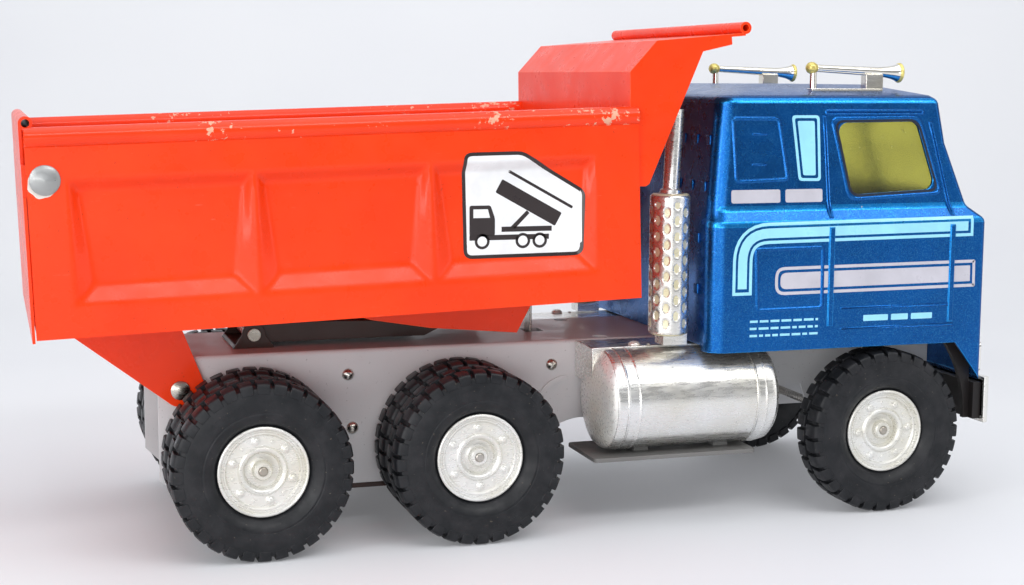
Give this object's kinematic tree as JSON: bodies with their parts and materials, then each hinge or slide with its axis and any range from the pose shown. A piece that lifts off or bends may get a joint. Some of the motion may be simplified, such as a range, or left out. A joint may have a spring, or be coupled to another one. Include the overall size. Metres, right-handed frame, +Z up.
{
  "type": "toy dump truck",
  "caption": "Pressed-steel toy dump truck with a cab, a tipping bed with a hinged tailgate, saddle tanks, roof horns, exhaust stacks and dual rear wheels.",
  "frame": {"origin": "on the ground, below the middle of the overall length and width", "axes": "+X forward towards the bumper, +Y to the truck's left, +Z up"},
  "size_m": [0.3792, 0.1422, 0.195],
  "materials": {
    "bed_paint": "gloss baked enamel, worn edges",
    "cab_paint": "metallic flake enamel, gloss",
    "chassis_paint": "semi-gloss silver grey enamel",
    "dark_steel": "dull dark brown enamel",
    "steel_pin": "satin, slightly tarnished",
    "chrome_plastic": "vacuum-plated plastic, yellowed and pitted",
    "tyre_black": "matt moulded rubber",
    "underside_black": "dull black enamel",
    "interior_plastic": "matt moulded plastic",
    "tinted_glass": "clear olive-tinted plastic",
    "lamp_glass": "clear ribbed plastic"
  },
  "bodies": {
    "chassis": {"air_horn_left": "chrome_plastic", "air_horn_right": "chrome_plastic", "arm_bracket": "dark_steel", "arm_pin": "steel_pin", "bed_hinge_pins": "steel_pin", "bottom_plate": "dark_steel", "bumper": "chrome_plastic", "bumper_backing": "underside_black", "cab_interior": "interior_plastic", "cab_shell": "cab_paint", "chassis_frame": "chassis_paint", "exhaust_stack_left": "chrome_plastic", "exhaust_stack_right": "chrome_plastic", "frame_rivets": "steel_pin", "frame_spacers": "steel_pin", "fuel_tank_left": "chrome_plastic", "fuel_tank_right": "chrome_plastic", "glazing": "tinted_glass", "grille": "chrome_plastic", "headlight_bezels": "chrome_plastic", "headlight_lenses": "lamp_glass", "latch_pin": "steel_pin", "latch_spring": "steel_pin", "step_left": "chassis_paint", "step_right": "chassis_paint"},
    "rear_wheelset": {"rear_axle": "steel_pin", "rear_left_inner_hub": "chrome_plastic", "rear_left_inner_tyre": "tyre_black", "rear_left_outer_hub": "chrome_plastic", "rear_left_outer_tyre": "tyre_black", "rear_right_inner_hub": "chrome_plastic", "rear_right_inner_tyre": "tyre_black", "rear_right_outer_hub": "chrome_plastic", "rear_right_outer_tyre": "tyre_black"},
    "mid_wheelset": {"mid_axle": "steel_pin", "mid_left_inner_hub": "chrome_plastic", "mid_left_inner_tyre": "tyre_black", "mid_left_outer_hub": "chrome_plastic", "mid_left_outer_tyre": "tyre_black", "mid_right_inner_hub": "chrome_plastic", "mid_right_inner_tyre": "tyre_black", "mid_right_outer_hub": "chrome_plastic", "mid_right_outer_tyre": "tyre_black"},
    "front_wheelset": {"front_axle": "steel_pin", "front_left_hub": "chrome_plastic", "front_left_tyre": "tyre_black", "front_right_hub": "chrome_plastic", "front_right_tyre": "tyre_black"},
    "bed": {"bed_shell": "bed_paint", "headboard": "bed_paint", "hinge_brackets": "bed_paint", "floor_gussets": "bed_paint", "tailgate_rivets": "steel_pin"},
    "tailgate": {"tailgate": "bed_paint"},
    "lift_arm": {"lift_arm": "dark_steel", "roller_pin": "steel_pin", "lift_spring": "steel_pin"},
    "lift_roller": {"lift_roller": "steel_pin"},
    "latch": {"latch": "steel_pin"}
  },
  "joints": [
    {"name": "rear_wheels_spin", "type": "hinge", "parent": "chassis", "child": "rear_wheelset", "pos_m": [-0.109, 0, 0.033], "axis": [0, 1, 0], "continuous": true},
    {"name": "mid_wheels_spin", "type": "hinge", "parent": "chassis", "child": "mid_wheelset", "pos_m": [-0.0281, 0, 0.033], "axis": [0, 1, 0], "continuous": true},
    {"name": "front_wheels_spin", "type": "hinge", "parent": "chassis", "child": "front_wheelset", "pos_m": [0.1421, 0, 0.033], "axis": [0, 1, 0], "continuous": true},
    {"name": "bed_hinge", "type": "hinge", "parent": "chassis", "child": "bed", "pos_m": [-0.1339, 0, 0.0574], "axis": [0, -1, 0], "range_deg": [0, 45]},
    {"name": "tailgate_hinge", "type": "hinge", "parent": "bed", "child": "tailgate", "pos_m": [-0.18155, 0, 0.13861], "axis": [0, 1, 0], "range_deg": [0, 60]},
    {"name": "lift_arm_hinge", "type": "hinge", "parent": "chassis", "child": "lift_arm", "pos_m": [-0.104, 0, 0.075], "axis": [0, -1, 0], "range_deg": [0, 60.75]},
    {"name": "roller_spin", "type": "hinge", "parent": "lift_arm", "child": "lift_roller", "pos_m": [-0.008, 0, 0.08733], "axis": [0, 1, 0], "continuous": true},
    {"name": "latch_hinge", "type": "hinge", "parent": "chassis", "child": "latch", "pos_m": [0.0126, 0, 0.0601], "axis": [0, 1, 0], "range_deg": [0, 12], "stiffness_Nm_per_rad": 0.02}
  ],
  "couplings": [
    {"joint": "lift_arm_hinge", "follows": "bed_hinge", "ratio": 1.35}
  ]
}
